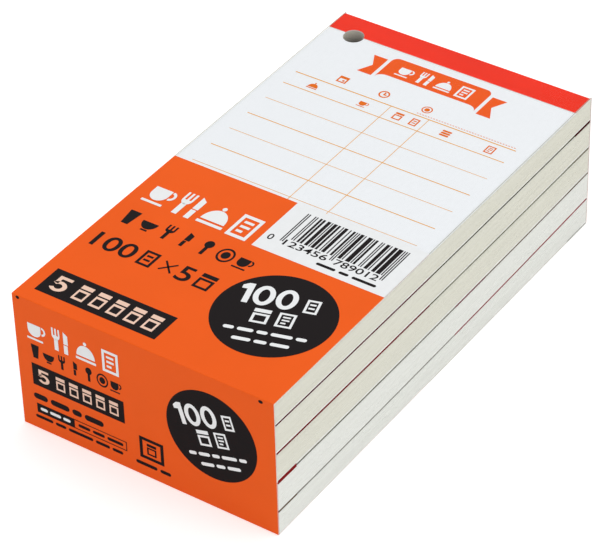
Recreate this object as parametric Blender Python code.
"""A film-wrapped pack of five guest check pads.

Each pad is a block of slips on a backing board, stapled through its head, bound there with a folded
tape, punched with a hanging hole, and sleeved lengthwise in its own printed film.  The five pads lie in
a stack, the upper ones with their heads to the back and the lower ones turned round, and one printed
wrapper film runs lengthwise round the stack.  Every film is open at both long sides, so each pad can be
drawn out sideways.

Units are metres, +Z is up, +X is across the slips and +Y runs to the back of the pack.  The origin is
under the middle of the pack, on the surface that it lies on.
"""

import math

import bmesh
import bpy
from mathutils import Vector

MM = 0.001

# Slips
SLIP_WIDTH = 66.0 * MM
SLIP_LENGTH = 125.0 * MM
SLIP_THICKNESS = 0.06 * MM
SLIPS_IN_BLOCK = 99
# What each slip takes up beyond its thickness, top pad first: the wrapper presses the outer pads tighter
SLIP_LOOSENESS = (-0.008 * MM, 0.003 * MM, 0.0035 * MM, 0.005 * MM, -0.0055 * MM)
# Which way each pad's head points, top pad first: 1 is to the back, -1 is to the front
HEAD_DIRECTIONS = (1, 1, 1, -1, -1)

# Backing board
BOARD_THICKNESS = 0.35 * MM

# Binding tape, folded over the head
TAPE_THICKNESS = 0.15 * MM
TAPE_FLANGE = 6.6 * MM

# Staples, under the tape
STAPLE_WIRE = 0.5 * MM
STAPLE_CROWN = 10.0 * MM
STAPLE_CLINCH = 3.2 * MM
STAPLE_BEND = 0.3 * MM
STAPLE_SPACING = 32.0 * MM
STAPLE_FROM_HEAD = 3.5 * MM

# Hanging hole
HOLE_DIAMETER = 5.0 * MM
HOLE_FROM_HEAD = 7.0 * MM
HOLE_FROM_SIDE = 7.0 * MM

# Films: the print starts at the tail end.  A pad's own print stops short under the pad, and the wrapper's
# print leaves a clear window at one side
PAD_FILM_THICKNESS = 0.05 * MM
WRAPPER_THICKNESS = 0.1 * MM
PRINT_LENGTH = 57.4 * MM
PAD_UNDER_PRINT_LENGTH = 6.0 * MM
WINDOW_LENGTH = 17.4 * MM
WINDOW_WIDTH = 33.3 * MM

# Clearances
LAYER_CLEARANCE = 0.03 * MM
STAPLE_CLEARANCE = 0.1 * MM
PAD_CLEARANCE = 0.12 * MM
WRAPPER_CLEARANCE = 0.06 * MM
FILM_SPLIT = 0.05 * MM

# Facets, and how far a cutter runs past what it cuts
HOLE_SIDES = 32
CORNER_STEPS = 4
SHARP_ANGLE = math.radians(35)
CUT_MARGIN = 1.0 * MM

# Finishes: sRGB colour from 0 to 255, roughness, metallic value, opacity
PAPER_FINISH = ((217, 216, 205), 0.85, 0.0, 1.0)
TOP_SLIP_FINISH = ((238, 241, 247), 0.8, 0.0, 1.0)
BOARD_FINISH = ((236, 235, 227), 0.9, 0.0, 1.0)
TAPE_FINISH = ((240, 64, 48), 0.6, 0.0, 1.0)
STEEL_FINISH = ((190, 192, 196), 0.3, 1.0, 1.0)
PRINTED_FILM_FINISH = ((243, 100, 37), 0.3, 0.0, 1.0)
CLEAR_FILM_FINISH = ((245, 248, 250), 0.15, 0.0, 0.15)

# What a tape, a pad's film and the wrapper each add to one side of what they go round
TAPE_BUILD = LAYER_CLEARANCE + TAPE_THICKNESS
PAD_FILM_BUILD = LAYER_CLEARANCE + PAD_FILM_THICKNESS
WRAPPER_BUILD = WRAPPER_CLEARANCE + WRAPPER_THICKNESS

# A pad's places along its length, in its own frame with the head at +Y and the bound pad centred
BOUND_HALF = (SLIP_LENGTH + TAPE_BUILD) / 2
HEAD_Y = BOUND_HALF - TAPE_BUILD
TAIL_Y = -BOUND_HALF
PACKED_HALF = BOUND_HALF + PAD_FILM_BUILD


class PadLayers:
    """Heights of one pad's layers above the underside of its own film."""

    def __init__(self, looseness):
        self.tape_low = PAD_FILM_BUILD
        self.board_low = self.tape_low + TAPE_BUILD
        self.board_high = self.board_low + BOARD_THICKNESS
        self.block_low = self.board_high + LAYER_CLEARANCE
        self.block_high = self.block_low + SLIPS_IN_BLOCK * (SLIP_THICKNESS + looseness)
        self.slip_low = self.block_high + LAYER_CLEARANCE
        self.slip_high = self.slip_low + SLIP_THICKNESS
        self.tape_high = self.slip_high + TAPE_BUILD
        self.height = self.tape_high + PAD_FILM_BUILD


def clear_scene():
    for old in list(bpy.data.objects):
        bpy.data.objects.remove(old, do_unlink=True)


def linear(channel):
    """Turns one sRGB channel, 0 to 255, into a linear value."""
    share = channel / 255
    if share <= 0.04045:
        return share / 12.92
    return ((share + 0.055) / 1.055) ** 2.4


def make_material(name, finish):
    colour, roughness, metallic, opacity = finish
    material = bpy.data.materials.new(name)
    material.use_nodes = True
    shader = material.node_tree.nodes["Principled BSDF"]
    shader.inputs["Base Color"].default_value = [linear(channel) for channel in colour] + [1.0]
    shader.inputs["Roughness"].default_value = roughness
    shader.inputs["Metallic"].default_value = metallic
    shader.inputs["Alpha"].default_value = opacity
    return material


def make_object(name, bm, parent):
    """Turns a bmesh into a named object in its parent's frame."""
    bmesh.ops.recalc_face_normals(bm, faces=bm.faces)
    mesh = bpy.data.meshes.new(name)
    bm.to_mesh(mesh)
    bm.free()
    mesh.shade_smooth()
    mesh.set_sharp_from_angle(angle=SHARP_ANGLE)
    made = bpy.data.objects.new(name, mesh)
    bpy.context.scene.collection.objects.link(made)
    made.parent = parent
    return made


def make_piece(name, bm, parent, finish, cutters=()):
    """A piece of the pack, with its own material and the cuts that go through it."""
    piece = make_object(name, bm, parent)
    piece.data.materials.append(make_material(name, finish))
    for cutter in cutters:
        cut = piece.modifiers.new(cutter.name, "BOOLEAN")
        cut.operation = "DIFFERENCE"
        cut.solver = "EXACT"
        cut.object = cutter
    return piece


def make_cutter(name, bm, parent):
    cutter = make_object(name, bm, parent)
    cutter.hide_render = True
    cutter.display_type = "WIRE"
    return cutter


def make_empty(name, height, turn):
    empty = bpy.data.objects.new(name, None)
    empty.location = (0.0, 0.0, height)
    empty.rotation_euler = (0.0, 0.0, turn)
    bpy.context.scene.collection.objects.link(empty)
    return empty


def add_prism(bm, outline, start, stop, place):
    """Adds a closed prism: an outline of (a, b) points, drawn from depth start to depth stop.

    place turns a, b and a depth into a point.
    """
    near = [bm.verts.new(place(a, b, start)) for a, b in outline]
    far = [bm.verts.new(place(a, b, stop)) for a, b in outline]
    bm.faces.new(near)
    bm.faces.new(reversed(far))
    for index in range(len(outline)):
        bm.faces.new((near[index], near[index - 1], far[index - 1], far[index]))


def side_outline(y, z, x):
    """Places an outline that is drawn as seen from the pack's long side."""
    return (x, y, z)


def end_outline(x, z, y):
    """Places an outline that is drawn as seen from the pack's end."""
    return (x, y, z)


def flat_outline(x, y, z):
    """Places an outline that is drawn as seen from above."""
    return (x, y, z)


def box_mesh(low, high):
    bm = bmesh.new()
    outline = ((low[0], low[1]), (high[0], low[1]), (high[0], high[1]), (low[0], high[1]))
    add_prism(bm, outline, low[2], high[2], flat_outline)
    return bm


def sheet_mesh(low, high):
    """A flat layer with the size of a slip, between two heights of a pad."""
    half = SLIP_WIDTH / 2
    return box_mesh((-half, TAIL_Y, low), (half, HEAD_Y, high))


def rounded_path(corners, radius):
    """An open path through corners, whose right-angled turns are rounded off."""
    points = [Vector(corners[0])]
    for before, corner, after in zip(corners, corners[1:], corners[2:]):
        back = (Vector(before) - Vector(corner)).normalized()
        ahead = (Vector(after) - Vector(corner)).normalized()
        centre = Vector(corner) + radius * (back + ahead)
        for step in range(CORNER_STEPS + 1):
            turn = math.radians(90) * step / CORNER_STEPS
            points.append(centre - radius * (ahead * math.cos(turn) + back * math.sin(turn)))
    points.append(Vector(corners[-1]))
    return points


def fold_mesh(end, low, high, top_edge, bottom_edge, clearance, thickness):
    """A sheet as wide as a slip, folded round one end of something.

    end is where that thing stops along Y, and low and high are its underside and its top.  The sheet's
    two panels reach back to top_edge and bottom_edge, and it bends about the thing's own corners.
    """
    outward = 1 if end > top_edge else -1

    def path(offset):
        face = end + outward * offset
        upper, lower = high + offset, low - offset
        corners = ((top_edge, upper), (face, upper), (face, lower), (bottom_edge, lower))
        return rounded_path(corners, offset)

    bm = bmesh.new()
    outline = path(clearance + thickness) + path(clearance)[::-1]
    add_prism(bm, outline, -SLIP_WIDTH / 2, SLIP_WIDTH / 2, side_outline)
    return bm


def add_staple(bm, x, layers, slack):
    """Adds a clinched staple, or the room for one if slack is more than zero."""
    half = STAPLE_CROWN / 2 + slack
    tip = STAPLE_CROWN / 2 - STAPLE_CLINCH - slack
    top = layers.slip_high + slack
    base = layers.board_low - slack
    wire = STAPLE_WIRE + 2 * slack

    def path(inset, radius):
        left, right = x - half + inset, x + half - inset
        upper, lower = top - inset, base + inset
        crown = ((left, lower), (left, upper), (right, upper), (right, lower))
        return rounded_path(((x - tip, lower), *crown, (x + tip, lower)), radius)

    inside = STAPLE_BEND - slack
    outline = path(0.0, inside + wire) + path(wire, inside)[::-1]
    middle = HEAD_Y - STAPLE_FROM_HEAD
    add_prism(bm, outline, middle - wire / 2, middle + wire / 2, end_outline)


def staple_places():
    return {"left": -STAPLE_SPACING / 2, "right": STAPLE_SPACING / 2}


def make_punch(name, layers, parent):
    """The round cutter of the hanging hole."""
    bm = bmesh.new()
    centre = Vector((-SLIP_WIDTH / 2 + HOLE_FROM_SIDE, HEAD_Y - HOLE_FROM_HEAD))
    outline = []
    for side in range(HOLE_SIDES):
        angle = 2 * math.pi * side / HOLE_SIDES
        outline.append(centre + HOLE_DIAMETER / 2 * Vector((math.cos(angle), math.sin(angle))))
    add_prism(bm, outline, -CUT_MARGIN, layers.height + CUT_MARGIN, flat_outline)
    return make_cutter(name, bm, parent)


def make_staple_room(name, layers, parent):
    """The cutter of the channels that the staples press into the slips and the board."""
    bm = bmesh.new()
    for x in staple_places().values():
        add_staple(bm, x, layers, STAPLE_CLEARANCE)
    return make_cutter(name, bm, parent)


def make_paper(pad, layers, parent):
    """The slips and their board, punched and stapled."""
    cutters = (
        make_punch(f"{pad}_punch", layers, parent),
        make_staple_room(f"{pad}_staple_room", layers, parent),
    )
    board = sheet_mesh(layers.board_low, layers.board_high)
    make_piece(f"{pad}_board", board, parent, BOARD_FINISH, cutters)
    block = sheet_mesh(layers.block_low, layers.block_high)
    make_piece(f"{pad}_slips", block, parent, PAPER_FINISH, cutters)
    top_slip = sheet_mesh(layers.slip_low, layers.slip_high)
    make_piece(f"{pad}_top_slip", top_slip, parent, TOP_SLIP_FINISH, cutters)
    return cutters[0]


def make_binding(pad, layers, parent, punch):
    """The two staples, and the tape folded over the head that hides them."""
    for side, x in staple_places().items():
        bm = bmesh.new()
        add_staple(bm, x, layers, 0.0)
        make_piece(f"{pad}_staple_{side}", bm, parent, STEEL_FINISH)
    edge = HEAD_Y - TAPE_FLANGE
    tape = fold_mesh(
        HEAD_Y, layers.board_low, layers.slip_high, edge, edge, LAYER_CLEARANCE, TAPE_THICKNESS
    )
    make_piece(f"{pad}_tape", tape, parent, TAPE_FINISH, (punch,))


def make_pad_film(pad, layers, parent):
    """The pad's own sleeve, printed from the tail end and clear over the head."""
    low, high = layers.tape_low, layers.tape_high
    edge = TAIL_Y + PRINT_LENGTH
    under = TAIL_Y + PAD_UNDER_PRINT_LENGTH
    printed = fold_mesh(TAIL_Y, low, high, edge, under, LAYER_CLEARANCE, PAD_FILM_THICKNESS)
    make_piece(f"{pad}_printed_film", printed, parent, PRINTED_FILM_FINISH)
    edge += FILM_SPLIT
    under += FILM_SPLIT
    clear = fold_mesh(BOUND_HALF, low, high, edge, under, LAYER_CLEARANCE, PAD_FILM_THICKNESS)
    make_piece(f"{pad}_clear_film", clear, parent, CLEAR_FILM_FINISH)


def make_pads():
    """Stacks the pads from the lowest up, and returns the heights where the stack starts and ends."""
    start = WRAPPER_BUILD
    height = start
    for number in range(len(HEAD_DIRECTIONS), 0, -1):
        pad = f"pad_{number}"
        layers = PadLayers(SLIP_LOOSENESS[number - 1])
        turn = 0.0 if HEAD_DIRECTIONS[number - 1] > 0 else math.pi
        parent = make_empty(f"{pad}_frame", height, turn)
        punch = make_paper(pad, layers, parent)
        make_binding(pad, layers, parent, punch)
        make_pad_film(pad, layers, parent)
        stop = height + layers.height
        height = stop + PAD_CLEARANCE
    return start, stop


def make_wrapper(low, high):
    """The outer film, split where its print ends, with a clear window let into the print on top."""
    print_edge = -PACKED_HALF + PRINT_LENGTH
    window_y = print_edge - WINDOW_LENGTH
    window_x = SLIP_WIDTH / 2 - WINDOW_WIDTH
    middle = (low + high) / 2
    above = high + WRAPPER_BUILD + CUT_MARGIN
    beyond = SLIP_WIDTH / 2 + CUT_MARGIN

    window = box_mesh((window_x, window_y, middle), (beyond, print_edge + CUT_MARGIN, above))
    window_cutter = make_cutter("window_cutter", window, None)
    printed = fold_mesh(
        -PACKED_HALF, low, high, print_edge, print_edge, WRAPPER_CLEARANCE, WRAPPER_THICKNESS
    )
    make_piece("wrapper_printed_film", printed, None, PRINTED_FILM_FINISH, (window_cutter,))

    clear_edge = print_edge + FILM_SPLIT
    flap = box_mesh(
        (-beyond, window_y - CUT_MARGIN, middle), (window_x + FILM_SPLIT, clear_edge, above)
    )
    flap_cutter = make_cutter("flap_cutter", flap, None)
    clear = fold_mesh(
        PACKED_HALF, low, high, window_y + FILM_SPLIT, clear_edge, WRAPPER_CLEARANCE, WRAPPER_THICKNESS
    )
    make_piece("wrapper_clear_film", clear, None, CLEAR_FILM_FINISH, (flap_cutter,))


clear_scene()
stack_low, stack_high = make_pads()
make_wrapper(stack_low, stack_high)
